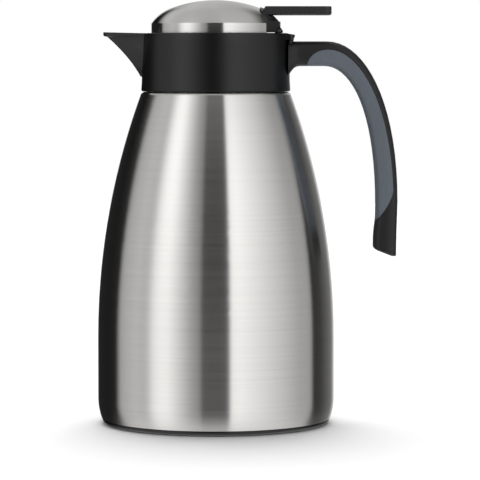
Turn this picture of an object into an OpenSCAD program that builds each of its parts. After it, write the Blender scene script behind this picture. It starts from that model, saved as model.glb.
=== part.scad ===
// Thermal carafe with a flip lid: a double-walled steel jug, a black neck collar with the spout,
// an open C handle with a soft inlay, a keyed stopper and a sprung lid with a thumb lever.
// Z is up, the spout points to -X, and the origin is the centre of the resting face.

/* [Steel jug] */
// Outer diameter of the straight lower body
body_d = 140; // [134:1:150]
// Height at which the side starts to lean in
straight_h = 50; // [30:1:70]
// Diameter of the body where the rolled shoulder starts
shoulder_d = 89.4; // [88:0.2:96]
// Height of the shoulder's highest point
shoulder_z = 196.3; // [180:0.1:220]
// Radius of the rolled shoulder
shoulder_roll = 2.5; // [2:0.5:6]
// Thickness of the outer steel wall
shell_wall = 0.8; // [0.6:0.1:1.2]
// Thickness of the inner steel wall
liner_wall = 0.7; // [0.5:0.1:1.2]
// Vacuum gap between the walls of the body
vacuum_gap = 5; // [3:0.5:8]
// Vacuum gap between the walls of the neck
neck_gap = 1.6; // [1:0.1:2]
// Inner diameter of the steel neck
neck_bore = 66; // [62:0.5:68]
// Height of the neck above the shoulder
neck_h = 15.7; // [12:0.1:20]
// Height of the flask's floor above the rest plane
flask_floor_z = 14; // [13:0.5:30]
// Radius of the flask's lower corner
flask_corner = 14; // [6:1:24]
// Radius of the flask's shoulder
flask_roll = 6; // [3:0.5:8]

/* [Foot] */
// Height of the shell's lower edge above the rest plane
foot_gap = 3.3; // [2.5:0.1:5]
// Height over which the shell curls in at its foot
curl_h = 12; // [9:0.5:16]
// Radius of the curl at the shell's foot
curl_r = 37; // [30:1:80]
// How far the black foot line stands inside the shell's lower edge
foot_step = 0.5; // [0.3:0.1:0.7]
// Width of the rubber foot ring
foot_ring_w = 7; // [4:0.5:12]
// Height of the base's rim above the rest plane
foot_clear = 0.4; // [0.2:0.1:1]

/* [Neck collar] */
// Inner diameter of the pouring chamber
chamber_d = 81; // [80:0.2:86]
// Thickness of the chamber's wall
collar_wall = 2.8; // [2:0.1:4]
// How much wider the collar's foot is than its rim, on the radius
collar_flare = 0.7; // [0.3:0.1:2]
// Height of that flare
flare_h = 6.4; // [3:0.2:10]
// Thickness of the ledge that carries the stopper
ledge_t = 2.6; // [2:0.1:4]
// Depth of the pouring chamber above the ledge
chamber_h = 15.6; // [14.5:0.1:20]
// Number of ribs in the collar's lower pocket
collar_ribs = 10; // [6:1:16]
// Thickness of the gasket between the steel mouth and the collar
gasket_t = 0.6; // [0.4:0.1:1.5]

/* [Spout] */
// Distance of the spout's tip from the axis
spout_reach = 66.4; // [60:0.2:74]
// Half width of the spout where it leaves the collar
spout_half_w = 11.3; // [9:0.1:14]
// Height of the spout's keel point under the rim
spout_drop = 25.8; // [20:0.2:30]
// Height of the keel's round part
spout_keel_h = 4.6; // [3:0.2:8]
// Thickness of the pouring lip
lip_t = 2.8; // [2:0.1:4]
// Overhang of the pouring lip
lip_over = 2.4; // [1:0.1:4]
// How far the tip stands above the rim
tip_rise = 0.6; // [0:0.1:2]
// Radius of the spout's nose in plan
nose_r = 4; // [3.4:0.1:6]
// How far the spout's underside bows in
spout_bow = 1.8; // [0:0.1:2.5]
// Thickness of the spout's wall
spout_wall = 2; // [1.4:0.1:2.6]

/* [Handle] */
// Distance of the handle's outermost point from the axis
handle_reach = 107.4; // [100:0.2:116]
// Thickness of the handle where the hand holds it
handle_t = 12.9; // [10:0.1:16]
// Height of the handle's upper arm
arm_h = 14.6; // [12:0.1:17]
// Distance from the rim down to the top of the arm
arm_drop = 4.75; // [4:0.05:8]
// Length from the arm's top down to the handle's free end
handle_len = 126.4; // [110:0.2:140]
// Height from the free end up to the outermost point
handle_tail = 32; // [24:0.5:45]
// Width of the handle across its sides
handle_w = 24; // [20:0.5:28]
// Extra width of the root at the collar
root_flare = 3; // [0:0.5:5]
// Radius of the fillet under the arm
root_fillet = 6; // [3:0.5:8]
// Thickness of the soft inlay
grip_t = 2; // [1.4:0.1:3]
// Width of black left outside the inlay at its top
grip_margin_top = 4.9; // [3.5:0.1:6]
// Width of black left outside the inlay at its foot
grip_margin_end = 2.5; // [2:0.1:4]
// Length of the hood over the handle's root
hood_out = 3.2; // [2:0.1:5]
// Half width of the hood
hood_half_w = 15; // [13.5:0.5:18]
// Diameter of the handle's screws
screw_d = 3; // [2.5:0.1:4]
// Length of the handle's screws
screw_len = 11; // [8:0.5:14]
// Distance between the two handle screws
screw_pitch = 12; // [9:0.5:14]

/* [Stopper] */
// Gap between the stopper's flange and the chamber
flange_gap = 0.5; // [0.3:0.1:1]
// Depth of the stopper in the neck
stopper_depth = 14; // [11:0.5:24]
// Gap between the stopper's barrel and the neck
barrel_gap = 1.5; // [1:0.1:2.5]
// Gap between the seal's lips and the neck
seal_gap = 0.3; // [0.2:0.05:0.5]
// Diameter of the throat
throat_d = 30; // [24:0.5:34]
// Wall of the stopper moulding
stopper_wall = 2; // [1.6:0.1:2.6]
// Height of the raised valve seat
seat_h = 1; // [0.6:0.1:2]
// Half width of the pouring window
window_half_w = 10.5; // [8:0.5:14]
// Width of the keys that hold the stopper straight
key_w = 4; // [3:0.5:8]
// Clearance of parts that lie on each other but come apart
seat_gap = 0.1; // [0.05:0.01:0.2]

/* [Lid] */
// Gap between the lid's skirt and the chamber
lid_gap = 2.5; // [1.8:0.1:4]
// Height of the straight steel skirt
skirt_h = 5.6; // [4:0.1:8]
// Radius of the lid's crown
crown_r = 75; // [68:1:90]
// Radius of the crown's edge
crown_edge_r = 24.5; // [22:0.5:27]
// Thickness of the lid's steel
lid_steel = 0.6; // [0.4:0.1:1]
// Distance from the axis to the chord where the steel ends
chord_x = 29.9; // [27:0.1:31]
// Diameter of the valve plug
plug_d = 40; // [38:0.5:44]
// Thickness of the valve's silicone
valve_t = 1; // [0.8:0.1:2]

/* [Thumb lever and hinge] */
// Distance of the lever's end from the axis
lever_reach = 68; // [62:0.5:74]
// Thickness of the lever
lever_t = 5; // [4:0.1:6]
// Height of the lever's underside above the rim
lever_rise = 10.7; // [10.2:0.1:13]
// Half width of the lever
lever_half_w = 15; // [11:0.5:17]
// Corner radius of the lever's end
lever_corner = 4; // [2:0.5:8]
// Distance of the pin's axis inside the skirt
pin_inset = 1; // [0.6:0.1:1.6]
// Height of the pin's axis above the rim
pin_rise = 1.3; // [1:0.1:2]
// Diameter of the hinge pin
pin_d = 2.5; // [2:0.1:2.8]
// Radial running clearance of the hinge
pin_fit = 0.08; // [0.03:0.01:0.1]
// Outer radius of the knuckles and ears
knuckle_r = 2.1; // [2:0.05:2.2]
// Outer half width of the lid's knuckles
knuckle_out = 6.5; // [6:0.1:7]
// Inner half width of the lid's knuckles
knuckle_in = 2.7; // [2.6:0.1:3.2]
// Width of each ear on the stopper
ear_w = 3.2; // [2.4:0.1:4]
// Wire diameter of the closing spring
spring_wire = 0.6; // [0.4:0.05:0.6]
// Number of turns of the closing spring
spring_turns = 4; // [2:1:5]

/* [Hidden] */

$fn = 96;
fine = 180;
arc_fine = 720;
big = 200;
past = 40;
past_under = 30;

steel = "silver";
black = "#232326";
rubber = "#5a646c";
silicone = "#d8d8d4";
foam = "#e8e0c8";

// Jug: the side is one arc that leaves the straight body at straight_h
body_r = body_d / 2;
roll_z = shoulder_z - shoulder_roll;
lean = body_r - shoulder_d / 2;
side_r = (lean * lean + pow(roll_z - straight_h, 2)) / (2 * lean);
side_cx = body_r - side_r;
curl_z = foot_gap + curl_h;
bore_r = neck_bore / 2;
flask_neck_r = bore_r + liner_wall;
shell_neck_r = flask_neck_r + neck_gap + shell_wall;
mouth_z = shoulder_z + neck_h;
flask_inset = shell_wall + vacuum_gap;
flask_top_z = shoulder_z - shell_wall - vacuum_gap - 0.5;
plate_z = flask_floor_z - 5.2;
plate_lip = 3.6;
dimple_r = 6.8;
dimple_h = 1.6;
getter_r = 6;
getter_h = 3;
getter_x = 26;

// Foot: the shell's lower edge stands curl_in inside the body's side
curl_in = curl_r - sqrt(curl_r * curl_r - curl_h * curl_h);
base_r = body_r - curl_in - foot_step;
base_edge = (foot_gap - foot_clear) * 0.9;
base_floor_t = 1.9;
base_floor_z = foot_gap - base_floor_t;
snap_wall = 1.5;
snap_gap = 0.4;
snap_r = body_r - curl_in - 2 * shell_wall - snap_gap;
groove_rim = 4.6;
groove_wall = 2.4;
groove_in_r = base_r - groove_rim - foot_ring_w;
groove_z = base_floor_z + 0.3;

// Collar
part_gap = 0.3;
fit = 0.2;
collar_z = shoulder_z + part_gap;
chamber_r = chamber_d / 2;
rim_r = chamber_r + collar_wall;
foot_r = rim_r + collar_flare;
collar_bore_r = shell_neck_r + fit;
ledge_under_z = mouth_z + gasket_t;
ledge_z = ledge_under_z + ledge_t;
rim_z = ledge_z + chamber_h;
ledge_in_r = bore_r + 1.2;
rim_edge = 0.8;
sleeve_wall = 1.8;
pocket_wall = 2.2;
rib_w = 1.4;
hood_h = 3.9;
hood_slope = 0.9;

// Spout, measured outwards from the axis
keel_z = rim_z - spout_drop;
lip_z = rim_z + tip_rise - lip_t;
neck_x = rim_r + 1;
lip_x = spout_reach - lip_over;
root_x = chamber_r - 2;
channel_floor_z = ledge_z + 2.4;

// Handle, in the XZ plane
arm_z = rim_z - arm_drop;
under_z = arm_z - arm_h;
end_z = arm_z - handle_len;
waist_z = end_z + handle_tail;
inner_reach = handle_reach - handle_t;
root_in_x = foot_r - 1.4;
fillet_x = rim_r + 0.4 + root_fillet;
outer_run = 41.6;
inner_run = 30.6;
arm_out_x = handle_reach - outer_run;
arm_in_x = inner_reach - inner_run;
outer_bend = 21.3;
outer_fall = 60.4;
inner_bend = 16.4;
inner_fall = 53;
inner_dip = 2.6;
tail_lead = 5;
tail_pull = 15;
tail_in = 0.7;
tail_slant = 5.3;
inlay_from = 0.14;
inlay_to = 0.96;
inlay_lead = 10.6;
inlay_tail = 12.4;
inlay_turn = 9;
section_power = 4.2;
section_sides = 28;
screw_z = under_z + arm_h / 2;
head_r = 2.8;
head_t = 1.4;

// Stopper
flange_r = chamber_r - flange_gap;
flange_z = ledge_z + seat_gap;
deck_z = flange_z + stopper_wall;
barrel_r = bore_r - barrel_gap;
throat_r = throat_d / 2;
stopper_z = flange_z - stopper_depth;
stopper_floor_z = stopper_z + stopper_wall;
seat_z = deck_z + seat_h;
seat_w = 4;
ring_out_r = flange_r - 0.4;
ring_wall = 2.2;
ring_z = rim_z - 0.7;
groove_h = 3.6;
groove_low_z = stopper_z + 3.2;
groove_deep = 1.1;
key_out = 0.8;
key_h = 3;

// Lid
lid_r = chamber_r - lid_gap;
skirt_z = rim_z + 0.1;
edge_z = skirt_z + skirt_h;
edge_drop = 14;
edge_cx = lid_r - sqrt(crown_edge_r * crown_edge_r - edge_drop * edge_drop);
edge_cz = edge_z - edge_drop;
edge_angle = asin(edge_cx / (crown_r - crown_edge_r));
crown_cz = edge_cz - (crown_r - crown_edge_r) * cos(edge_angle);
liner_z = rim_z + 1.1;
liner_t = 2;
liner_r = lid_r - lid_steel - 0.1;
plug_r = plug_d / 2;
plug_wall = 2;
valve_z = seat_z + seat_gap;
plug_z = valve_z + valve_t;
valve_in_r = throat_r - 3;
retainer_r = throat_r - 1.5;
retainer_t = 1.8;
stem_r = 5;
foam_gap = 0.1;

// Hinge and lever
pin_x = lid_r - pin_inset;
pin_z = rim_z + pin_rise;
pin_r = pin_d / 2;
ear_in = knuckle_out + 0.3;
ear_out = ear_in + ear_w;
pin_half = ear_out + 0.5;
pocket_r = knuckle_r + 0.75;
block_r = lid_r + 0.2;
block_z = rim_z + 0.7;
heel_z = rim_z + 2.1;
heel_h = 4.7;
lever_z = rim_z + lever_rise;
lever_top_z = lever_z + lever_t;
lever_edge = 0.7;
lap_t = 0.7;
lap_gap = 0.05;
lever_root_x = chord_x - 4;
lever_root_slope = 3.3;
lever_root_half_w = lever_half_w + 1.5;
tongue_x = chord_x - 11;
tongue_half_w = 16;
tongue_t = 2.6;
tongue_gap = 0.3;
tongue_z = liner_z + liner_t;
lid_screw_x = chord_x - 6;
lid_screw_y = 11;
lid_screw_r = 1.25;
lid_head_r = 2.4;
lid_head_t = 1.5;
lid_slot = 3.4;
spring_r = pin_r + 0.35 + spring_wire / 2;
spring_half = knuckle_in - 0.35 - spring_wire / 2;
spring_leg = 4.4;
bracket_x = pin_x - 4.2;

// Points of a cubic curve with four control points
function cubic(p, t) = pow(1 - t, 3) * p[0] + 3 * pow(1 - t, 2) * t * p[1]
    + 3 * (1 - t) * t * t * p[2] + pow(t, 3) * p[3];
function mix(a, b, t) = a + (b - a) * t;
function unit(v) = v / norm(v);
// Power of a sine or cosine that keeps its sign, for a rounded box section
function soft(v) = sign(v) * pow(abs(v), 2 / section_power);

// Skin over a list of rings with the same number of points, closed at both ends
module loft(rings) {
    n = len(rings[0]);
    m = len(rings);
    points = [for (ring = rings) each ring];
    sides = [for (i = [0 : m - 2], j = [0 : n - 1])
        let (a = i * n + j, b = i * n + (j + 1) % n) each [[a, b + n, b], [a, a + n, b + n]]];
    first = [for (j = [0 : n - 1]) j];
    last = [for (j = [n - 1 : -1 : 0]) (m - 1) * n + j];
    polyhedron(points, concat([first], sides, [last]), convexity = 8);
}

module spin() {
    rotate_extrude($fn = fine) children();
}

// Half section of a vessel whose side follows the jug's arc, set in from the shell by inset
module vessel_half(inset, floor_z, top_z, roll, corner) {
    r = body_r - inset;
    arc = side_r - inset;
    rz = top_z - roll;
    rx = side_cx + sqrt(pow(arc - roll, 2) - pow(rz - straight_h, 2));
    far = [rx, rz] + unit([rx - side_cx, rz - straight_h]) * (roll + 30);
    translate([0, floor_z + corner]) square([r, straight_h - floor_z - corner]);
    if (corner > 0) {
        translate([0, floor_z]) square([r - corner, corner]);
        intersection() {
            translate([r - corner, floor_z + corner]) circle(r = corner);
            translate([r - corner, floor_z]) square(corner);
        }
    }
    intersection() {
        translate([side_cx, straight_h]) circle(r = arc, $fn = arc_fine);
        polygon([[0, straight_h], [r + 30, straight_h], far, [rx, rz], [0, rz]]);
    }
    translate([rx, rz]) circle(r = roll);
    translate([0, rz]) square([rx, roll]);
}

// Half section of the shell's curled foot between two heights, set in by inset
module curl_half(inset, low_z, high_z) {
    intersection() {
        translate([body_r - curl_r, curl_z]) circle(r = curl_r - inset, $fn = arc_fine);
        translate([0, low_z]) square([big, high_z - low_z]);
    }
}

module outer_shell() {
    color(steel) spin() difference() {
        union() {
            vessel_half(0, curl_z, shoulder_z, shoulder_roll, 0);
            curl_half(0, foot_gap, curl_z);
            square([shell_neck_r, mouth_z - liner_wall]);
        }
        vessel_half(shell_wall, curl_z, shoulder_z - shell_wall, shoulder_roll - shell_wall, 0);
        curl_half(shell_wall, foot_gap - 1, curl_z);
        translate([0, -1]) square([shell_neck_r - shell_wall, mouth_z + 2]);
        translate([0, -1]) square([big, foot_gap + 1]);
    }
}

module inner_flask() {
    color(steel) spin() difference() {
        union() {
            vessel_half(flask_inset, flask_floor_z, flask_top_z, flask_roll, flask_corner);
            translate([0, roll_z - 20]) square([flask_neck_r, mouth_z - roll_z + 20]);
            translate([0, mouth_z - liner_wall]) square([shell_neck_r, liner_wall]);
        }
        vessel_half(flask_inset + liner_wall, flask_floor_z + liner_wall, flask_top_z - liner_wall,
            flask_roll - liner_wall, flask_corner - liner_wall);
        translate([0, roll_z - 20]) square([bore_r, big]);
    }
}

// Pressed plate with a lip along the shell and a shallow dimple in the middle
module shell_bottom() {
    color(steel) spin() {
        difference() {
            curl_half(shell_wall + 0.02, plate_z - plate_lip, plate_z);
            curl_half(2 * shell_wall + 0.02, plate_z - plate_lip - 1, plate_z + 1);
        }
        translate([0, plate_z - shell_wall]) intersection() {
            square([body_r - 2 * shell_wall - 0.3, shell_wall]);
            translate([getter_x / 2, 0]) square([big, shell_wall]);
        }
        polygon([[0, plate_z - dimple_h - shell_wall], [dimple_r, plate_z - dimple_h * 0.75 - shell_wall],
            [getter_x / 2, plate_z - shell_wall], [getter_x / 2, plate_z],
            [dimple_r, plate_z - dimple_h * 0.75], [0, plate_z - dimple_h]]);
    }
}

module vacuum_getter() {
    color("gray") translate([getter_x, 0, plate_z]) difference() {
        cylinder(r = getter_r, h = getter_h);
        translate([0, 0, 0.6]) cylinder(r = getter_r - 0.6, h = getter_h);
    }
}

module base_cup() {
    color(black) spin() {
        difference() {
            union() {
                translate([0, foot_clear + base_edge]) square([base_r, foot_gap - foot_clear - base_edge]);
                translate([0, foot_clear]) square([base_r - base_edge, base_edge]);
                intersection() {
                    translate([base_r - base_edge, foot_clear + base_edge]) circle(r = base_edge);
                    translate([base_r - base_edge, foot_clear]) square(base_edge);
                }
            }
            translate([groove_in_r, -1]) square([foot_ring_w, groove_z + 1]);
            translate([-1, -1]) square([groove_in_r - groove_wall, base_floor_z + 1]);
        }
        translate([snap_r - snap_wall, foot_gap - 0.5])
            square([snap_wall, plate_z - shell_wall - foot_gap]);
    }
}

module foot_ring() {
    color("#2c2c2e") spin() difference() {
        translate([groove_in_r, 0]) square([foot_ring_w, groove_z]);
        for (k = [1 : 2]) translate([groove_in_r + k * foot_ring_w / 3, 0]) circle(r = 0.5, $fn = 24);
    }
}

// Outline of one level of the spout: root corners, then the round nose, as seen from above
function spout_level(z, half_w, nose_x, r) =
    let (
        cx = nose_x - r,
        away = norm([cx - root_x, half_w]),
        reach = atan2(half_w, root_x - cx) - acos(r / away),
        steps = 10
    )
    concat([[-root_x, half_w, z]],
        [for (k = [0 : steps]) let (a = reach * (1 - 2 * k / steps))
            [-(cx + r * cos(a)), r * sin(a), z]],
        [[-root_x, -half_w, z]]);

function spout_width(z) = let (s = min(1, max(0.03, (z - keel_z) / spout_keel_h)))
    sqrt(1 - pow(1 - s, 2));
function spout_nose(z) = let (u = (z - keel_z) / (lip_z - keel_z))
    mix(neck_x, lip_x, u) - spout_bow * 4 * u * (1 - u);

// Levels close together at the round keel and wider apart above it
spout_steps = [0.01, 0.04, 0.09, 0.15, 0.22, 0.34, 0.48, 0.62, 0.76, 0.88, 1];

module spout_outside() {
    body = [for (u = spout_steps) let (z = mix(keel_z, lip_z, u), w = spout_half_w * spout_width(z))
        spout_level(z, w, spout_nose(z), min(nose_r, 0.6 * w))];
    lip = [for (s = [[0.5, 0.8], [1.1, 1], [lip_t + 2, 1]])
        spout_level(lip_z + s[0], spout_half_w + 0.4 * s[1], lip_x + lip_over * s[1], nose_r + 0.4)];
    loft(concat(body, lip));
}

// Inside of the spout: the same form one wall in and one floor up, open at the top
module spout_inside() {
    floor_up = 2.2 * spout_wall;
    z0 = channel_floor_z;
    loft([for (k = [0 : 8]) let (z = mix(z0, rim_z + 4, k / 8), f = min(lip_z, z - floor_up))
        spout_level(z, spout_half_w - spout_wall, spout_nose(f) - spout_wall * 0.8,
            nose_r - spout_wall * 0.6)]);
}

// Plan slope from the rim up to the spout's tip, as the space above it
module above_spout() {
    translate([0, 2 * spout_half_w, 0]) rotate([90, 0, 0]) linear_extrude(4 * spout_half_w)
        polygon([[-root_x, rim_z], [-rim_r, rim_z], [-spout_reach, rim_z + tip_rise],
            [-spout_reach - 5, rim_z + tip_rise], [-spout_reach - 5, rim_z + 20], [-root_x, rim_z + 20]]);
}

module collar_ring_half() {
    polygon([[collar_bore_r, collar_z], [foot_r - rim_edge, collar_z], [foot_r - 0.2, collar_z + 0.3],
        [foot_r, collar_z + rim_edge], [foot_r, collar_z + 1.8],
        [foot_r - collar_flare * 0.3, collar_z + flare_h * 0.7], [rim_r + 0.4, collar_z + flare_h],
        [rim_r, rim_z - rim_edge], [rim_r - 0.2, rim_z - 0.25], [rim_r - rim_edge, rim_z],
        [chamber_r + 0.4, rim_z], [chamber_r, rim_z - 0.4], [chamber_r, ledge_z],
        [ledge_in_r, ledge_z], [ledge_in_r, ledge_under_z], [collar_bore_r, ledge_under_z]]);
}

// Hood over the handle's root: a slanted nose with rounded corners in plan
module hood() {
    intersection() {
        rotate([90, 0, 0]) translate([0, 0, -hood_half_w]) linear_extrude(2 * hood_half_w)
            polygon([[chamber_r - 4, rim_z - hood_h], [rim_r + hood_out - hood_slope, rim_z - hood_h],
                [rim_r + hood_out + 0.1, rim_z - hood_slope - 0.7], [rim_r + hood_out - 0.3, rim_z - hood_slope],
                [rim_r - 3, rim_z], [chamber_r - 4, rim_z]]);
        linear_extrude(big * 2) {
            translate([0, -hood_half_w]) square([rim_r + hood_out - 3, 2 * hood_half_w]);
            translate([0, 3 - hood_half_w]) square([rim_r + hood_out + 1, 2 * hood_half_w - 6]);
            for (s = [-1, 1]) translate([rim_r + hood_out - 2.8, s * (hood_half_w - 3)]) circle(r = 3);
        }
    }
}

// One handle screw hole along X through the chamber's wall, with a seat for the head
module screw_hole(r, head) {
    for (s = [-1, 1]) translate([chamber_r - 3, s * screw_pitch / 2, screw_z]) rotate([0, 90, 0]) {
        cylinder(r = r, h = 3 + collar_wall + screw_len);
        if (head > 0) cylinder(r = head, h = 3 + head_t + fit);
    }
}

module collar() {
    color(black) difference() {
        union() {
            spin() collar_ring_half();
            spout_outside();
            hood();
        }
        translate([0, 0, ledge_z]) cylinder(r = chamber_r, h = 30, $fn = fine);
        translate([0, 0, collar_z - 1]) cylinder(r = collar_bore_r, h = ledge_under_z - collar_z + 1, $fn = fine);
        spout_inside();
        above_spout();
        screw_hole(screw_d / 2 + 0.1, head_r + fit);
        for (s = [-1, 1]) translate([-key_w / 2 - fit, s > 0 ? chamber_r - 2 : -chamber_r - key_out - 0.3, ledge_z])
            cube([key_w + 2 * fit, key_out + 2.3, past]);
        difference() {
            spin() translate([collar_bore_r + sleeve_wall, collar_z - 1])
                square([rim_r - pocket_wall - collar_bore_r - sleeve_wall, ledge_under_z - collar_z - 1.4]);
            for (k = [0 : collar_ribs - 1]) rotate([0, 0, (k + 0.5) * 360 / collar_ribs])
                translate([collar_bore_r, -rib_w / 2, collar_z]) cube([collar_wall + 6, rib_w, 30]);
        }
    }
}

module neck_seal() {
    color(silicone) spin() translate([bore_r + 0.6, mouth_z])
        square([shell_neck_r - bore_r - 0.8, gasket_t]);
}

// Outer and inner edges of the handle, from the root to the free end
function outer_edge(s, t) = s == 0 ? mix([root_in_x, arm_z], [arm_out_x, arm_z], t)
    : s == 1 ? cubic([[arm_out_x, arm_z], [arm_out_x + outer_bend, arm_z],
        [handle_reach, waist_z + outer_fall], [handle_reach, waist_z]], t)
    : cubic([[handle_reach, waist_z], [handle_reach, waist_z - tail_lead],
        [handle_reach - tail_in, end_z + tail_pull], [handle_reach - tail_in, end_z]], t);
function inner_edge(s, t) = s == 1 ? cubic([[arm_in_x, under_z], [arm_in_x + inner_bend, under_z],
        [inner_reach, waist_z + inner_fall], [inner_reach, waist_z - inner_dip]], t)
    : cubic([[inner_reach, waist_z - inner_dip], [inner_reach, waist_z - tail_pull - inner_dip],
        [inner_reach - 2 * tail_in, end_z + tail_slant + tail_pull],
        [inner_reach - 2 * tail_in, end_z + tail_slant]], t);
function root_under(x) = x < fillet_x
    ? under_z - root_fillet + sqrt(root_fillet * root_fillet - pow(min(root_fillet, fillet_x - x), 2)) : under_z;
function root_half_w(x) = handle_w / 2 + root_flare / 2 * pow(max(0, min(1, (fillet_x - x) / root_fillet)), 2);

// One ring of the handle between an inner and an outer point, set in by d
function handle_ring(inner, outer, half_w, d) =
    let (mid = (inner + outer) / 2, half = (outer - inner) / 2, shrink = (norm(half) - d) / norm(half))
    [for (k = [0 : section_sides - 1]) let (a = 360 * k / section_sides, u = soft(sin(a)) * shrink)
        [mid[0] + half[0] * u, (half_w - d) * soft(cos(a)), mid[1] + half[1] * u]];

root_steps = [0, 0.25, 0.5, 0.75, 1];
function handle_rings(d) = concat(
    [for (u = root_steps) let (x = mix(root_in_x, fillet_x, u))
        handle_ring([x, root_under(x)], [x, arm_z], root_half_w(x), d)],
    [for (u = [1 / 3, 2 / 3])
        handle_ring([mix(fillet_x, arm_in_x, u), under_z], [mix(fillet_x, arm_out_x, u), arm_z], handle_w / 2, d)],
    [for (k = [0 : 18]) let (t = k / 18)
        handle_ring(inner_edge(1, t), outer_edge(1, t), mix(handle_w, handle_w - 1, t) / 2, d)],
    [for (k = [1 : 6]) let (t = k / 6)
        handle_ring(inner_edge(2, t), outer_edge(2, t), mix(handle_w - 1, handle_w - 2, t) / 2, d)]);

// The free end: two last rings that draw in for a soft, slightly crowned face
function handle_tip(d) =
    let (a = inner_edge(2, 1), b = outer_edge(2, 1), down = unit([b[1] - a[1], a[0] - b[0]]))
    [for (s = [[0.7, 0.6], [1.1, 1.8]])
        handle_ring(a + down * s[0] + unit(b - a) * s[1], b + down * s[0] - unit(b - a) * s[1],
            handle_w / 2 - 1 - s[1], d)];

// Side outline of the soft inlay: it follows the outer edge and turns in at both ends
function inlay_edge(t, extra) =
    let (p = outer_edge(1, t), q = outer_edge(1, t + 0.01), v = unit(q - p))
    p + [v[1], -v[0]] * (mix(grip_margin_top, grip_margin_end, t) + extra);
module inlay_region(extra) {
    top = inlay_edge(inlay_from, extra);
    low = inlay_edge(inlay_to, extra);
    start = [arm_in_x - inlay_lead + extra, under_z - 1];
    stop = [inner_reach - 2, waist_z - inlay_tail + extra];
    back = inlay_turn * unit(top - inlay_edge(inlay_from + 0.01, extra));
    rim = concat(
        [for (k = [0 : 7]) cubic([start, start + [0.5, inlay_turn + 0.5], top + back, top], k / 8)],
        [for (k = [0 : 20]) inlay_edge(mix(inlay_from, inlay_to, k / 20), extra)],
        [for (k = [1 : 8]) cubic([low, low - [0.1, 5], stop + [6.4, 4.6], stop], k / 8)]);
    rotate([90, 0, 0]) translate([0, 0, -handle_w]) linear_extrude(2 * handle_w)
        polygon(concat(rim, [[inner_reach - past, stop[1]], [start[0], under_z - past_under]]));
}

module handle_frame() {
    color(black) difference() {
        union() {
            difference() {
                loft(concat(handle_rings(0), handle_tip(0)));
                inlay_region(0);
            }
            loft(handle_rings(grip_t));
        }
        translate([0, 0, collar_z - flare_h])
            cylinder(r1 = foot_r + 0.1, r2 = rim_r + 0.1, h = rim_z - collar_z + flare_h, $fn = fine);
        screw_hole(screw_d / 2 + 0.05, 0);
    }
}

module handle_grip() {
    color(rubber) difference() {
        intersection() {
            loft(concat(handle_rings(0.02), handle_tip(0.02)));
            inlay_region(0.15);
        }
        loft(handle_rings(grip_t - 0.02));
    }
}

module handle_screws() {
    color(steel) for (s = [-1, 1]) translate([chamber_r + head_t, s * screw_pitch / 2, screw_z]) rotate([0, 90, 0]) {
        difference() {
            translate([0, 0, -head_t]) cylinder(r = head_r, h = head_t);
            for (a = [0, 90]) rotate([0, 0, a]) translate([-2, -0.4, -head_t - 1]) cube([4, 0.8, 1.8]);
        }
        cylinder(r = screw_d / 2, h = screw_len - 1);
        translate([0, 0, screw_len - 1]) cylinder(r1 = screw_d / 2, r2 = 0.4, h = 1);
    }
}

// Across the hinge, an outline in XZ drawn between two distances from the middle plane, on both sides
module hinge_slab(from, to) {
    for (s = [-1, 1]) translate([0, s > 0 ? to : -from, 0]) rotate([90, 0, 0]) linear_extrude(to - from) children();
}

module hinge_bore(r) {
    translate([pin_x, big, pin_z]) rotate([90, 0, 0]) cylinder(r = r, h = 2 * big);
}

module stopper_body() {
    color(black) difference() {
        union() {
            spin() {
                translate([throat_r, flange_z]) square([flange_r - throat_r, stopper_wall]);
                translate([throat_r, deck_z]) square([seat_w, seat_h]);
                translate([throat_r, stopper_z]) square([stopper_wall, flange_z - stopper_z]);
                difference() {
                    translate([barrel_r - stopper_wall - groove_deep, stopper_floor_z + fit])
                        square([stopper_wall + groove_deep, flange_z - stopper_floor_z - fit]);
                    translate([barrel_r - groove_deep, groove_low_z]) square([5, groove_h]);
                }
                translate([ring_out_r - ring_wall, deck_z]) square([ring_wall, ring_z - deck_z]);
            }
            intersection() {
                translate([bracket_x, -ear_out, deck_z - 0.1]) cube([10, 2 * ear_out, ring_z - deck_z + 0.1]);
                cylinder(r = ring_out_r, h = big * 2, $fn = fine);
            }
            for (s = [-1, 1]) translate([-key_w / 2, s > 0 ? flange_r - 1 : -flange_r - key_out + 0.1, flange_z])
                cube([key_w, key_out + 0.9, key_h]);
            hinge_slab(ear_in, ear_out) {
                translate([pin_x, pin_z]) circle(r = knuckle_r);
                translate([pin_x - knuckle_r, ring_z - 3]) square([2 * knuckle_r - 0.6, pin_z - ring_z + 3]);
                translate([pin_x - knuckle_r, rim_z + 0.3]) square([knuckle_r + 2.45, 1.4]);
            }
        }
        translate([-ring_out_r - 5, -window_half_w, deck_z]) cube([20, 2 * window_half_w, 30]);
        translate([pin_x - 8, -ear_in, pin_z - knuckle_r - 0.35]) cube([12, 2 * ear_in, 20]);
        hinge_bore(pin_r);
    }
}

module stopper_base() {
    color(black) spin() difference() {
        translate([throat_r + stopper_wall + fit, stopper_z])
            square([barrel_r - throat_r - stopper_wall - fit, stopper_wall]);
        translate([barrel_r - 0.6, stopper_z - 0.1]) square([2, 0.7]);
    }
}

module stopper_insulation() {
    color(foam) spin() translate([throat_r + stopper_wall, stopper_floor_z])
        square([barrel_r - 2 * stopper_wall - groove_deep - throat_r, flange_z - stopper_floor_z]);
}

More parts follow.
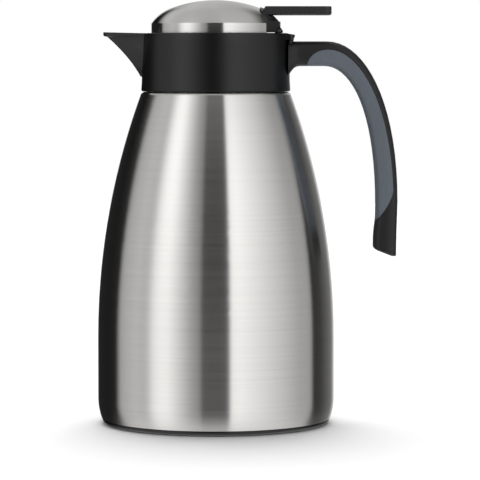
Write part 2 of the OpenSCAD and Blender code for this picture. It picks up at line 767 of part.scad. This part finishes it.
// Ring seated in the barrel's groove, with two lips towards the neck
module stopper_seal() {
    in_r = barrel_r - groove_deep;
    lip_r = bore_r - seal_gap;
    color(silicone) spin() polygon([[in_r, groove_low_z], [barrel_r, groove_low_z],
        [lip_r, groove_low_z + 1.2], [lip_r, groove_low_z + 1.5], [barrel_r + 0.2, groove_low_z + 1.2],
        [barrel_r + 0.2, groove_low_z + groove_h / 2 + 0.6], [lip_r, groove_low_z + groove_h - 0.6],
        [lip_r, groove_low_z + groove_h - 0.3], [barrel_r, groove_low_z + groove_h - 0.4],
        [barrel_r, groove_low_z + groove_h], [in_r, groove_low_z + groove_h]]);
}

module hinge_pin() {
    color(steel) translate([pin_x, 0, pin_z]) rotate([90, 0, 0]) {
        cylinder(r = pin_r, h = 2 * pin_half - 1, center = true);
        for (s = [0, 180]) rotate([s, 0, 0]) translate([0, 0, pin_half - 0.5])
            cylinder(r1 = pin_r, r2 = pin_r - 0.4, h = 0.5);
    }
}

// Coil of the closing spring with one straight leg at each end, both towards the spout
spring_sides = 6;
function spring_path() =
    let (steps = 12 * spring_turns + 6, pitch = 2 * spring_half / steps)
    concat([[-spring_leg, -spring_half, -spring_r]],
        [for (k = [0 : steps]) let (a = 270 + 30 * k) [spring_r * cos(a), -spring_half + pitch * k, spring_r * sin(a)]],
        [[-spring_leg, spring_half, spring_r]]);

module hinge_spring() {
    path = spring_path();
    n = len(path);
    rings = [for (i = [0 : n - 1])
        let (dir = unit(path[min(n - 1, i + 1)] - path[max(0, i - 1)]), u = unit(cross(dir, [0, 1, 0])),
            v = cross(u, dir))
        [for (k = [0 : spring_sides - 1]) let (a = -360 * k / spring_sides)
            path[i] + (u * cos(a) + v * sin(a)) * spring_wire / 2]];
    color(steel) translate([pin_x, 0, pin_z]) loft(rings);
}

// Half section of the lid's outside: straight skirt, crown edge and crown, set in by inset
module dome_half(inset, low_z) {
    ray = [sin(edge_angle), cos(edge_angle)];
    out = [edge_cx, edge_cz] + ray * (crown_edge_r + 30);
    intersection() {
        union() {
            intersection() {
                translate([0, crown_cz]) circle(r = crown_r - inset, $fn = arc_fine);
                polygon([[0, edge_cz], [edge_cx, edge_cz], out, [0, out[1]]]);
            }
            translate([edge_cx, edge_cz]) circle(r = crown_edge_r - inset, $fn = fine);
        }
        translate([0, edge_z]) square(big);
    }
    translate([0, low_z]) square([lid_r - inset, edge_z - low_z]);
}

// Everything on the lever's side of the chord
module behind_chord(extra) {
    translate([chord_x - extra, -big, 0]) cube([big, 2 * big, 3 * big]);
}

module lid_dome() {
    color(steel) difference() {
        spin() difference() {
            dome_half(0, skirt_z);
            dome_half(lid_steel, skirt_z - 1);
        }
        behind_chord(0);
    }
}

module lid_liner() {
    color(black) difference() {
        union() {
            spin() {
                translate([0, liner_z]) square([liner_r, liner_t]);
                translate([liner_r - plug_wall, liner_z]) square([plug_wall, edge_z - liner_z - 1]);
                translate([plug_r - plug_wall, plug_z]) square([plug_wall, liner_z + liner_t - plug_z]);
                translate([0, plug_z]) square([plug_r, plug_wall]);
            }
            for (k = [0 : 7]) rotate([0, 0, 22.5 + 45 * k]) translate([plug_r - 1, -0.6, liner_z - 4])
                cube([5, 1.2, 4.2]);
        }
        translate([0, 0, liner_z - 1]) cylinder(r = plug_r - plug_wall, h = liner_t + 2, $fn = fine);
        behind_chord(0.2);
        lid_screw_bores(lid_screw_r + 0.1);
        translate([0, 0, plug_z - 1]) cylinder(r = stem_r + 0.05, h = plug_wall + 2);
        translate([tongue_x - tongue_gap, -tongue_half_w - tongue_gap, tongue_z])
            cube([big, 2 * (tongue_half_w + tongue_gap), big]);
    }
}

module lid_screw_bores(r) {
    for (s = [-1, 1]) translate([lid_screw_x, s * lid_screw_y, liner_z - 1]) cylinder(r = r, h = 8);
}

module lid_insulation() {
    color(foam) difference() {
        union() {
            translate([0, 0, plug_z + plug_wall + foam_gap])
                cylinder(r = plug_r - plug_wall - foam_gap, h = tongue_z - plug_z - plug_wall + 1, $fn = fine);
            spin() dome_half(lid_steel + plug_wall + 0.4, tongue_z + foam_gap);
        }
        translate([tongue_x - 2 * tongue_gap, -tongue_half_w - 2 * tongue_gap, tongue_z - 1])
            cube([big, 2 * tongue_half_w + 4 * tongue_gap, 1 + tongue_t + tongue_gap]);
        behind_chord(tongue_gap);
        translate([0, 0, plug_z]) cylinder(r = stem_r + 0.8, h = plug_wall + 2);
    }
}

// Side outline of the hinge block, in XZ
module block_outline() {
    polygon([[chord_x, block_z], [pin_x - 2, block_z], [pin_x - 0.6, heel_z],
        [block_r + 2, heel_z], [block_r + 2, lever_top_z - 1], [chord_x, lever_top_z - 1]]);
}

// Plan of the lever at one height, drawn in by inset: a bar that widens a little towards its root
function lever_ring(z, inset) =
    let (
        r = lever_corner - inset,
        cx = lever_reach - lever_corner,
        cy = lever_half_w - lever_corner,
        root = lever_root_x + lever_root_slope * (z - lever_z) / lever_t
    )
    concat([[root, -lever_root_half_w + inset, z]],
        [for (s = [-1, 1], k = [0 : 8]) let (a = s < 0 ? -90 + k * 90 / 8 : k * 90 / 8)
            [cx + r * cos(a), s * cy + r * sin(a), z]],
        [[root, lever_root_half_w - inset, z]]);

// Lever bar with rounded edges above and below
module lever_bar() {
    loft(concat(
        [for (k = [4 : -1 : 0]) let (a = 90 * k / 4)
            lever_ring(lever_z + lever_edge * (1 - sin(a)), lever_edge * (1 - cos(a)))],
        [for (k = [0 : 4]) let (a = 90 * k / 4)
            lever_ring(lever_top_z - lever_edge * (1 - sin(a)), lever_edge * (1 - cos(a)))]));
}

// Thin flange of the lever's root that laps onto the steel crown
module lever_lap() {
    intersection() {
        spin() difference() {
            dome_half(-lap_t, skirt_z);
            dome_half(-lap_gap, skirt_z - 1);
        }
        rotate([90, 0, 0]) translate([0, 0, -lever_half_w - 1.5]) linear_extrude(2 * lever_half_w + 3)
            polygon([[chord_x, lever_z - 2.5], [chord_x - 3.6, lever_top_z - 2], [chord_x - 3.6, big * 2],
                [chord_x + 4, big * 2], [chord_x + 4, lever_z - 2.5]]);
    }
}

module thumb_lever() {
    color(black) difference() {
        union() {
            intersection() {
                spin() {
                    dome_half(lid_r - block_r, block_z);
                    translate([0, block_z]) square([block_r, heel_z + heel_h - block_z]);
                }
                hinge_slab(0, lid_r) block_outline();
            }
            lever_lap();
            difference() {
                lever_bar();
                difference() {
                    spin() dome_half(-lap_gap, skirt_z);
                    behind_chord(0);
                }
            }
            translate([tongue_x, -tongue_half_w, tongue_z]) cube([chord_x - tongue_x + 1, 2 * tongue_half_w, tongue_t]);
            hinge_slab(knuckle_in, knuckle_out) {
                translate([pin_x, pin_z]) circle(r = knuckle_r);
                translate([pin_x - knuckle_r, pin_z]) square([2 * knuckle_r - 0.9, 2.5]);
            }
        }
        hinge_bore(pin_r + pin_fit);
        hinge_slab(knuckle_out, ear_out + 0.6) translate([pin_x, pin_z]) circle(r = pocket_r);
        hinge_slab(knuckle_out, ear_out + 0.6) translate([pin_x - pocket_r, pin_z - 5]) square([big, 5]);
        hinge_slab(0, knuckle_in) {
            translate([pin_x, pin_z]) circle(r = pocket_r);
            translate([pin_x - spring_leg - 0.6, pin_z - 5]) square([spring_leg + 5, 5 + spring_r + spring_wire]);
        }
        lid_screw_bores(lid_screw_r + 0.02);
    }
}

module valve_seal() {
    color(silicone) spin() translate([valve_in_r, valve_z])
        square([throat_r + seat_w - 0.4 - valve_in_r, valve_t]);
}

module valve_retainer() {
    color(black) spin() {
        translate([0, valve_z - retainer_t]) square([retainer_r, retainer_t]);
        translate([0, valve_z]) square([valve_in_r - 0.05, valve_t]);
        translate([0, plug_z]) square([stem_r, plug_wall + 0.2]);
        translate([0, plug_z + plug_wall + 0.2])
            polygon([[0, 0], [stem_r + 0.5, 0], [stem_r - 0.4, 1.2], [0, 1.2]]);
    }
}

module lid_screws() {
    color(steel) for (s = [-1, 1]) translate([lid_screw_x, s * lid_screw_y, liner_z]) {
        difference() {
            translate([0, 0, -lid_head_t]) cylinder(r = lid_head_r, h = lid_head_t);
            for (a = [0, 90]) rotate([0, 0, a]) translate([-lid_slot / 2, -0.35, -lid_head_t - 1])
                cube([lid_slot, 0.7, 1.8]);
        }
        cylinder(r = lid_screw_r, h = liner_t + tongue_t - 0.4);
    }
}

outer_shell();
inner_flask();
shell_bottom();
vacuum_getter();
base_cup();
foot_ring();
collar();
neck_seal();
handle_frame();
handle_grip();
handle_screws();
stopper_body();
stopper_base();
stopper_insulation();
stopper_seal();
hinge_pin();
hinge_spring();
lid_dome();
lid_liner();
lid_insulation();
thumb_lever();
valve_seal();
valve_retainer();
lid_screws();
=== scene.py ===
import math

import bpy
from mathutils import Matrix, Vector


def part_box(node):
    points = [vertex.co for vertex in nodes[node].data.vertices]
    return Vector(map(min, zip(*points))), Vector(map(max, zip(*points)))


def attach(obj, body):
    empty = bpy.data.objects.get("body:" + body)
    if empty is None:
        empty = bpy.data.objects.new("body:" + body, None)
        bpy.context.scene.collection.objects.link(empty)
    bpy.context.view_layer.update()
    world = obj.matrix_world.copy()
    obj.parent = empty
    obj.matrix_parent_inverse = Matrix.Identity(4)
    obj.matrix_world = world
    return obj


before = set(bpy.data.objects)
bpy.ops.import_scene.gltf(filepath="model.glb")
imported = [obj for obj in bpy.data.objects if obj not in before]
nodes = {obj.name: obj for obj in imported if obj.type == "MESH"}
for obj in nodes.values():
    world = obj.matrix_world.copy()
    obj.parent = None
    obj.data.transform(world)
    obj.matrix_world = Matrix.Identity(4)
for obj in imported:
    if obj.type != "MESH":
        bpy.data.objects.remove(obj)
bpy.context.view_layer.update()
scene = bpy.context.scene

# Camera: a long lens 1.65 m in front of the jug, a little above it and tilted down, as a catalogue
# picture is taken. The jug stands left of the middle, so the camera stands a little to the right.
camera_tilt = math.radians(3.734)
camera = bpy.data.objects.new("camera", bpy.data.cameras.new("camera"))
camera.data.lens = 209.1
camera.data.sensor_width = 36.0
camera.location = (0.0143, -1.65, 0.2162)
camera.rotation_euler = (math.radians(90) - camera_tilt, 0, 0)
scene.collection.objects.link(camera)
scene.camera = camera
scene.view_settings.view_transform = "Standard"


# Studio: the light tent that a steel jug is photographed in. Its walls are soft boxes with dark gaps
# between them, which draw the upright bands on the steel, under a broad soft box overhead. A soft
# light from above and behind lays the short shadow in front of the foot.
class Wire:
    """An output socket of a shader node. Arithmetic on a wire adds the Math nodes that it needs."""

    def __init__(self, graph, socket):
        self.graph = graph
        self.socket = socket

    def __add__(self, other):
        return self.graph.math("ADD", self, other)

    def __radd__(self, other):
        return self.graph.math("ADD", other, self)

    def __sub__(self, other):
        return self.graph.math("SUBTRACT", self, other)

    def __rsub__(self, other):
        return self.graph.math("SUBTRACT", other, self)

    def __mul__(self, other):
        return self.graph.math("MULTIPLY", self, other)

    def __rmul__(self, other):
        return self.graph.math("MULTIPLY", other, self)

    def __truediv__(self, other):
        return self.graph.math("DIVIDE", self, other)

    def __rtruediv__(self, other):
        return self.graph.math("DIVIDE", other, self)

    def __pow__(self, other):
        return self.graph.math("POWER", self, other)

    def __rpow__(self, other):
        return self.graph.math("POWER", other, self)


class Graph:
    """A shader node tree, added to by a node's type, its settings, and its sockets' values or wires."""

    def __init__(self, tree):
        self.tree = tree

    def add(self, kind, settings=None, inputs=None, output=0):
        made = self.tree.nodes.new(kind)
        for name, value in (settings or {}).items():
            if name == "stops":
                self.set_stops(made.color_ramp.elements, value)
            else:
                setattr(made, name, value)
        for name, value in (inputs or {}).items():
            if isinstance(value, Wire):
                self.tree.links.new(value.socket, made.inputs[name])
            else:
                made.inputs[name].default_value = value
        return Wire(self, made.outputs[output]) if made.outputs else None

    def set_stops(self, stops, levels):
        while len(stops) < len(levels):
            stops.new(1.0)
        for stop, (place, level) in zip(stops, levels):
            stop.position = place
            stop.color = (level, level, level, 1)

    def math(self, operation, first, second=0.0):
        return self.add("ShaderNodeMath", {"operation": operation}, {0: first, 1: second})

    def mix(self, share, first, second, blend="MIX"):
        return self.add("ShaderNodeMix", {"data_type": "RGBA", "blend_type": blend},
                        {0: share, 6: first, 7: second}, output=2)

    def split(self, vector):
        parts = self.add("ShaderNodeSeparateXYZ", inputs={0: vector}).socket.node
        return [Wire(self, parts.outputs[axis]) for axis in "XYZ"]


def fade(graph, wire, start, end):
    """0 at the start, 1 at the end, and a smooth step between them."""
    return graph.add("ShaderNodeMapRange", {"interpolation_type": "SMOOTHSTEP"}, {0: wire, 1: start, 2: end})


# Degrees round the tent from behind the camera, growing to the camera's right, and the wall's level there
tent_walls = [
    (-180, 0.62), (-172, 0.60), (-169, 0.02), (-113, 0.01), (-107, 0.46), (-84, 0.58), (-76, 0.53),
    (-70, 0.60), (-64, 0.96), (-56, 1.10), (-48, 1.08), (-24, 0.41), (-15, 0.25), (-13, 0.045),
    (13, 0.045), (15, 1.08), (24, 1.12), (64, 0.70), (90, 0.45), (107, 0.43), (110, 0.03), (124, 0.05),
    (150, 0.17), (157, 0.20), (161, 0.50), (180, 0.62),
]
# Heights in the tent run from -1, straight down, to 1, straight up; shares of the turn from 0 to 1
wall_top = (0.12, 0.4)
wall_top_contrast = 0.4
wall_top_gain = 0.3
right_box_top = (0.42, 0.65)
right_box_side = (0.5, 0.53)
right_box_loss = 0.35
left_gap_top = (0.38, 0.58)
left_gap_side = (0.22, 0.18)
left_gap_level = 0.60
overhead_edge = (0.6, 0.85)
overhead_level = 0.50
table_edge = (-0.4, -0.7)
table_level = 0.75

world = bpy.data.worlds.new("studio")
scene.world = world
world.use_nodes = True
world.node_tree.nodes.clear()
tent = Graph(world.node_tree)
east, north, up = tent.split(tent.add("ShaderNodeTexCoord", output="Generated"))
turn = tent.math("ARCTAN2", east, north * -1.0) / math.tau + 0.5
walls = tent.add("ShaderNodeValToRGB", {"stops": [(angle / 360 + 0.5, level) for angle, level in tent_walls]},
                 {0: turn})
high = fade(tent, up, *wall_top)
right_box = fade(tent, up, *right_box_top) * fade(tent, turn, *right_box_side)
walls = walls ** (1 + high * wall_top_contrast) * (1 + high * wall_top_gain - right_box * right_box_loss)
left_gap = fade(tent, up, *left_gap_top) * fade(tent, turn, *left_gap_side)
walls = walls + (left_gap_level - walls) * left_gap
lining = walls + (overhead_level - walls) * fade(tent, up, *overhead_edge)
lining = lining + (table_level - lining) * fade(tent, up, *table_edge)
backdrop = tent.mix(tent.add("ShaderNodeLightPath", output="Is Camera Ray"), lining, (1, 1, 1, 1))
tent.add("ShaderNodeOutputWorld", inputs={"Surface": tent.add("ShaderNodeBackground", inputs={0: backdrop})})

skylight = bpy.data.objects.new("skylight", bpy.data.lights.new("skylight", "SUN"))
skylight.data.energy = 3.15
skylight.data.angle = math.radians(55)
skylight.rotation_euler = (math.radians(-28), 0, 0)
skylight.visible_glossy = False
scene.collection.objects.link(skylight)


# Floor: a round sheet of matt white paper, burnt out to white beyond the jug's own soft shadow.
# The steel doesn't mirror it, so the tent's bands run down to the foot as they do in the picture.
def finish(name, **constants):
    """A new material with the values that are the same all over, its graph, and its main shader."""
    material = bpy.data.materials.new(name)
    material.use_nodes = True
    shader = material.node_tree.nodes["Principled BSDF"]
    for socket, value in constants.items():
        shader.inputs[socket.replace("_", " ")].default_value = value
    return material, Graph(material.node_tree), shader


def drive(graph, shader, **sockets):
    for socket, wire in sockets.items():
        graph.tree.links.new(wire.socket, shader.inputs[socket.replace("_", " ")])


def noise(graph, place, scale, detail=2.0, roughness=0.5):
    return graph.add("ShaderNodeTexNoise", inputs={
        "Vector": place, "Scale": scale, "Detail": detail, "Roughness": roughness})


def shaded(graph, tint, level):
    grey = graph.add("ShaderNodeCombineColor", inputs={0: level, 1: level, 2: level})
    return graph.mix(1.0, (*tint, 1), grey, "MULTIPLY")


paper_radius = 2.5
paper_sides = 96
paper_tint = (0.83, 0.83, 0.83)
fibre_scale = 60.0
paper = bpy.data.meshes.new("paper")
turns = [side * math.tau / paper_sides for side in range(paper_sides)]
paper.from_pydata([(paper_radius * math.cos(a), paper_radius * math.sin(a), 0) for a in turns], [],
                  [tuple(range(paper_sides))])
matt_paper, graph, shader = finish("matt_paper", Roughness=0.95, Specular_IOR_Level=0.0)
fibre = noise(graph, graph.add("ShaderNodeTexCoord", output="Object"), fibre_scale)
drive(graph, shader, Base_Color=shaded(graph, paper_tint, 0.98 + fibre * 0.02))
paper.materials.append(matt_paper)
floor = bpy.data.objects.new("floor", paper)
floor.visible_glossy = False
scene.collection.objects.link(floor)


# Steel vessel: an outer shell and a flask of 18/8 stainless sheet, welded at the neck with the air
# drawn out between them. The shell is brushed while it turns, so its fine lines run level and smear
# what it mirrors up and down; the flask is left as drawn.
def raised(graph, height, depth, strength=1.0):
    return graph.add("ShaderNodeBump", inputs={"Height": height, "Distance": depth, "Strength": strength})


def brushed(name, tint, pitch, roughness, over_crown=False):
    """Steel with brush lines: pitch sets how many cross a metre, and they run level, or round a crown."""
    round_fine, round_broad, broad_pitch, scratch_depth = 9.0, 4.0, pitch * 0.13, 0.000004
    material, graph, shader = finish(name, Metallic=1.0, Anisotropic=1.0, Anisotropic_Rotation=0.25)
    x, y, z = graph.split(graph.add("ShaderNodeTexCoord", output="Object"))
    across = (x * x + y * y) ** 0.5 - z if over_crown else z
    fine_lines = graph.add("ShaderNodeCombineXYZ", inputs={
        0: x * round_fine, 1: y * round_fine, 2: across * pitch})
    broad_lines = graph.add("ShaderNodeCombineXYZ", inputs={
        0: x * round_broad, 1: y * round_broad, 2: across * broad_pitch})
    fine = noise(graph, fine_lines, 1.0, 3.0, 0.6)
    broad = noise(graph, broad_lines, 1.0)
    drive(graph, shader,
          Base_Color=shaded(graph, tint, 0.89 + fine * 0.15 + broad * 0.07),
          Roughness=roughness - 0.04 + fine * 0.06 + broad * 0.03,
          Normal=raised(graph, fine, scratch_depth))
    return material


def dress(material, *names):
    for name in names:
        nodes[name].data.materials.clear()
        nodes[name].data.materials.append(material)


steel_tint = (0.80, 0.785, 0.765)
brush_pitch = 2600.0
dress(brushed("brushed_steel", steel_tint, brush_pitch, 0.24), "outer_shell")
dress(brushed("drawn_steel", (0.70, 0.69, 0.68), 900.0, 0.22), "inner_flask", "shell_bottom", "vacuum_getter")


# Foot: a black moulded cup pressed over the shell's bottom edge, with a rubber ring let into it that
# the jug stands on. Only a thin black line of it shows under the steel.
def moulded(name, tint, roughness, grain, depth, gloss=0.58):
    """A moulding with the fine grain of a spark-eroded tool and a little unevenness in its sheen."""
    sheen_scale = 45.0
    material, graph, shader = finish(name, Specular_IOR_Level=gloss)
    place = graph.add("ShaderNodeTexCoord", output="Object")
    spark = noise(graph, place, grain, 3.0)
    sheen = noise(graph, place, sheen_scale)
    drive(graph, shader,
          Base_Color=shaded(graph, tint, 0.75 + spark * 0.35 + sheen * 0.15),
          Roughness=roughness - 0.06 + sheen * 0.08 + spark * 0.04,
          Normal=raised(graph, spark, depth))
    return material


satin_black = moulded("satin_black", (0.0012, 0.0012, 0.0014), 0.34, 2400.0, 0.00002)
dress(satin_black, "base_cup")
dress(moulded("foot_rubber", (0.018, 0.018, 0.018), 0.75, 1500.0, 0.00004), "foot_ring")


# Collar: one black moulding snapped over the neck, with the spout drawn out of it in front and the
# root of the handle behind. A silicone ring under it keeps drips off the steel.
def soften(name, widest):
    """Shades a moulding's drawn-out faces as the one smooth surface that they stand for, up to an angle."""
    same_corner = 0.000002
    tree = bpy.data.node_groups.new("soften_" + name, "GeometryNodeTree")
    for way in ("INPUT", "OUTPUT"):
        tree.interface.new_socket("Mesh", in_out=way, socket_type="NodeSocketGeometry")
    graph = Graph(tree)
    mesh = graph.add("NodeGroupInput")
    mesh = graph.add("GeometryNodeMergeByDistance", inputs={"Geometry": mesh, "Distance": same_corner})
    mesh = graph.add("GeometryNodeRemoveAttribute", inputs={"Geometry": mesh, "Name": "custom_normal"})
    slight = graph.add("FunctionNodeCompare", {"operation": "LESS_THAN"}, {
        "A": graph.add("GeometryNodeInputMeshEdgeAngle"), "B": math.radians(widest)})
    for domain, smooth in (("FACE", True), ("EDGE", slight)):
        mesh = graph.add("GeometryNodeSetShadeSmooth", {"domain": domain}, {
            "Geometry": mesh, "Shade Smooth": smooth})
    graph.add("NodeGroupOutput", inputs={"Mesh": mesh})
    nodes[name].modifiers.new("soften", "NODES").node_group = tree


dress(satin_black, "collar")
soften("collar", 28)
silicone = moulded("silicone", (0.60, 0.60, 0.58), 0.5, 900.0, 0.00002)
dress(silicone, "neck_seal")


# Hood web: the short web that joins the collar's hood to the handle's arm under it, rounded in plan and
# let a little into the arm. It closes the slit that the two mouldings would leave between them.
web_back = 0.0428
web_front = 0.0456
web_half = 0.0114
web_corner = 0.002
web_sunk = 0.0022
hood_under = 0.22695
arm_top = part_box("handle_frame")[1][2]
web_levels = [(arm_top - web_sunk, 0.0), (arm_top, 0.0), (arm_top + 0.0004, 0.0001), (hood_under, 0.0006)]
corner_angles = [math.radians(15 * step) for step in range(6, -1, -1)]
web_points = []
for height, grown in web_levels:
    side = [(web_back, web_half)]
    for a in corner_angles:
        x = web_front + grown - web_corner * (1 - math.cos(a))
        side.append((x, web_half - web_corner * (1 - math.sin(a))))
    web_points += [(x, y, height) for x, y in side] + [(x, -y, height) for x, y in reversed(side)]
ring = len(web_points) // len(web_levels)
web_faces = [tuple(range(ring)), tuple(range(len(web_points) - 1, len(web_points) - ring - 1, -1))]
web_faces += [(low + i, low + ring + i, low + ring + (i + 1) % ring, low + (i + 1) % ring)
              for low in range(0, len(web_points) - ring, ring) for i in range(ring)]
web_mesh = bpy.data.meshes.new("hood_web")
web_mesh.from_pydata(web_points, [], web_faces)
web_mesh.shade_smooth()
web_mesh.materials.append(satin_black)
hood_web = bpy.data.objects.new("hood_web", web_mesh)
scene.collection.objects.link(hood_web)
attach(hood_web, "jug")


# Handle: a black frame, screwed to the collar from inside the chamber, with a soft blue-grey inlay
# moulded into the side that the fingers hold.
matt_black = moulded("matt_black", (0.019, 0.019, 0.020), 0.42, 2000.0, 0.00003, 0.32)
dress(matt_black, "handle_frame")
soften("handle_frame", 35)
dress(moulded("soft_inlay", (0.118, 0.137, 0.165), 0.6, 1700.0, 0.00004), "handle_grip")
soften("handle_grip", 35)
bright_steel = brushed("bright_steel", (0.82, 0.82, 0.81), 4000.0, 0.2)
dress(bright_steel, "handle_screws")


# Stopper: a black shell filled with foam that drops into the neck. Its base plate closes the foam in,
# and a silicone ring in its groove seals it against the flask.
dress(satin_black, "stopper_body", "stopper_base")
dress(silicone, "stopper_seal")
foam = moulded("foam", (0.75, 0.70, 0.60), 0.95, 700.0, 0.0001)
dress(foam, "stopper_insulation")


# Lid: a brushed steel dome pressed over a black liner, with foam between them. Two screws from below
# hold the lever's tongue to the liner.
dress(brushed("lid_steel", steel_tint, brush_pitch, 0.2, over_crown=True), "lid_dome")
dress(satin_black, "lid_liner")
dress(foam, "lid_insulation")
dress(bright_steel, "lid_screws")


# Thumb lever: one black moulding of a flat tab and the hinge block under it. Pressed down, it tips the
# lid open about the pin.
lever_black = moulded("lever_black", (0.026, 0.026, 0.028), 0.42, 2000.0, 0.00003, 0.36)
dress(lever_black, "thumb_lever")


# Hinge: a steel pin held in the stopper's two ears, which the lever's block turns on. A spring of
# steel wire is wound round it and shuts the lid.
dress(bright_steel, "hinge_pin")
dress(brushed("spring_wire", (0.66, 0.66, 0.65), 1500.0, 0.3), "hinge_spring")


# Valve: a silicone washer on the lid's plug shuts the stopper's throat. A black button snapped into
# the plug holds it.
dress(silicone, "valve_seal")
dress(satin_black, "valve_retainer")
